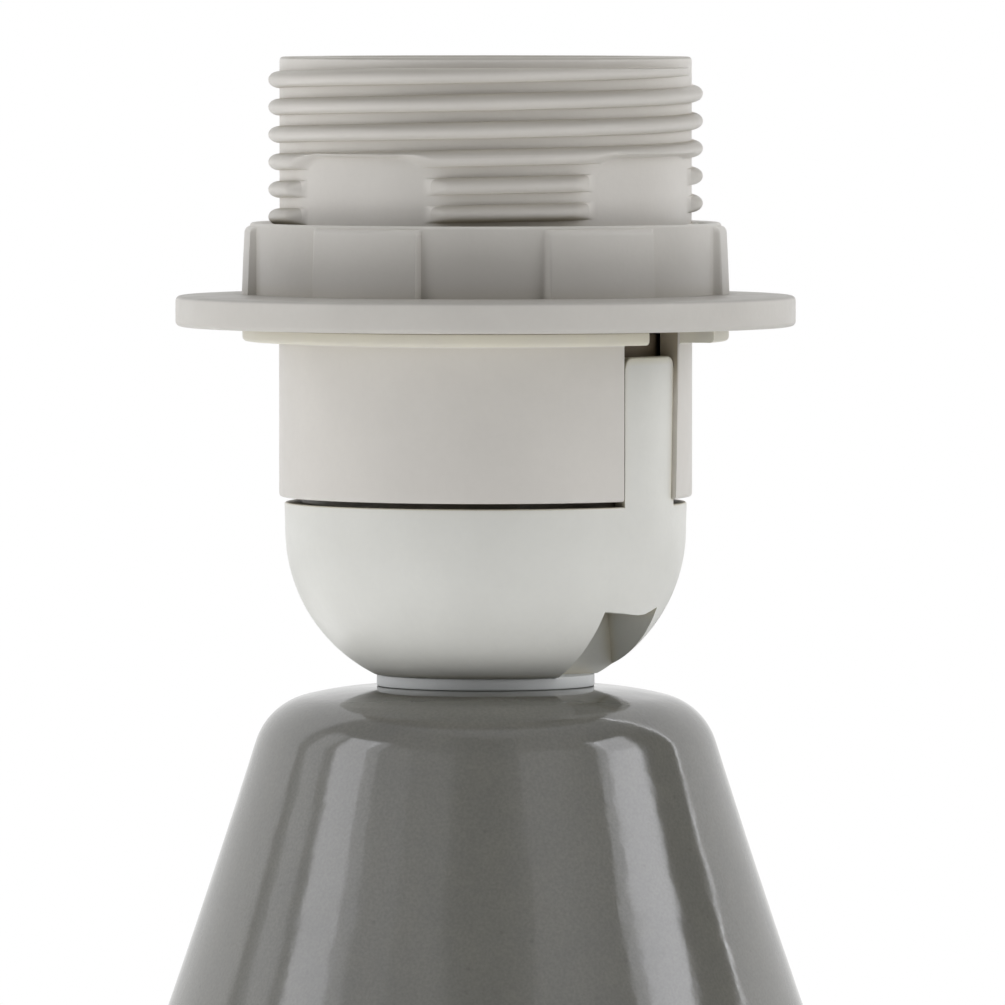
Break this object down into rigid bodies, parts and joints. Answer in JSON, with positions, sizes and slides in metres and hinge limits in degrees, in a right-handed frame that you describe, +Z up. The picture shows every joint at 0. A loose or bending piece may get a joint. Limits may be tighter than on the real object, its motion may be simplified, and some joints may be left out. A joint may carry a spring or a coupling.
{
  "type": "table lamp",
  "caption": "Tapered glazed ceramic table lamp on a felt pad, with a pale plastic E27 lampholder: threaded barrel, screw-on shade ring, latch tongue and domed cap.",
  "frame": {"origin": "middle of the felt pad's underside, on the surface that the lamp stands on", "axes": "+Z up along the lamp's axis, -Y towards the front, +Y towards the cord inlet"},
  "size_m": [0.1468, 0.1468, 0.2224],
  "materials": {
    "glaze": "gloss",
    "hardboard": "matte",
    "felt": "matte",
    "inlet_plastic": "satin",
    "zinc_steel": "satin",
    "nitrile": "matte",
    "spacer_plastic": "satin",
    "dome_plastic": "satin",
    "barrel_plastic": "satin",
    "ring_plastic": "satin",
    "carrier_plastic": "matte",
    "contact_brass": "satin",
    "shell_metal": "satin"
  },
  "bodies": {
    "lamp": {"ceramic_body": "glaze", "base_board": "hardboard", "felt_pad": "felt", "cord_grommet": "inlet_plastic", "threaded_tube": "zinc_steel", "lock_nuts": "zinc_steel", "rubber_washer": "nitrile", "steel_washer": "zinc_steel", "toothed_washer": "zinc_steel", "tube_bush": "inlet_plastic", "neck_spacer": "spacer_plastic", "dome_cap": "dome_plastic", "lock_screw": "zinc_steel", "contact_carrier": "carrier_plastic", "terminal_blocks": "contact_brass", "terminal_screws": "zinc_steel", "contact_rivets": "contact_brass", "contact_strip": "contact_brass", "screw_shell": "shell_metal", "barrel_shell": "barrel_plastic"},
    "ring_lift": {"ring_flange": "ring_plastic"},
    "ring_grip": {"ring_collar": "ring_plastic"},
    "centre_contact": {"contact_blade": "contact_brass"}
  },
  "joints": [
    {"name": "shade_ring_rise", "type": "slide", "parent": "lamp", "child": "ring_lift", "axis": [0, 0, 1], "range_m": [0, 0.015]},
    {"name": "shade_ring_turn", "type": "hinge", "parent": "ring_lift", "child": "ring_grip", "pos_m": [0, 0, 0.2008], "axis": [0, 0, 1], "range_deg": [0, 2160]},
    {"name": "centre_contact_press", "type": "hinge", "parent": "lamp", "child": "centre_contact", "pos_m": [-0.0059, 0, 0.19725], "axis": [0, 1, 0], "range_deg": [0, 10], "stiffness_Nm_per_rad": 0.4}
  ],
  "couplings": [
    {"joint": "shade_ring_rise", "follows": "shade_ring_turn", "m_per_rad": 0.00039789}
  ]
}
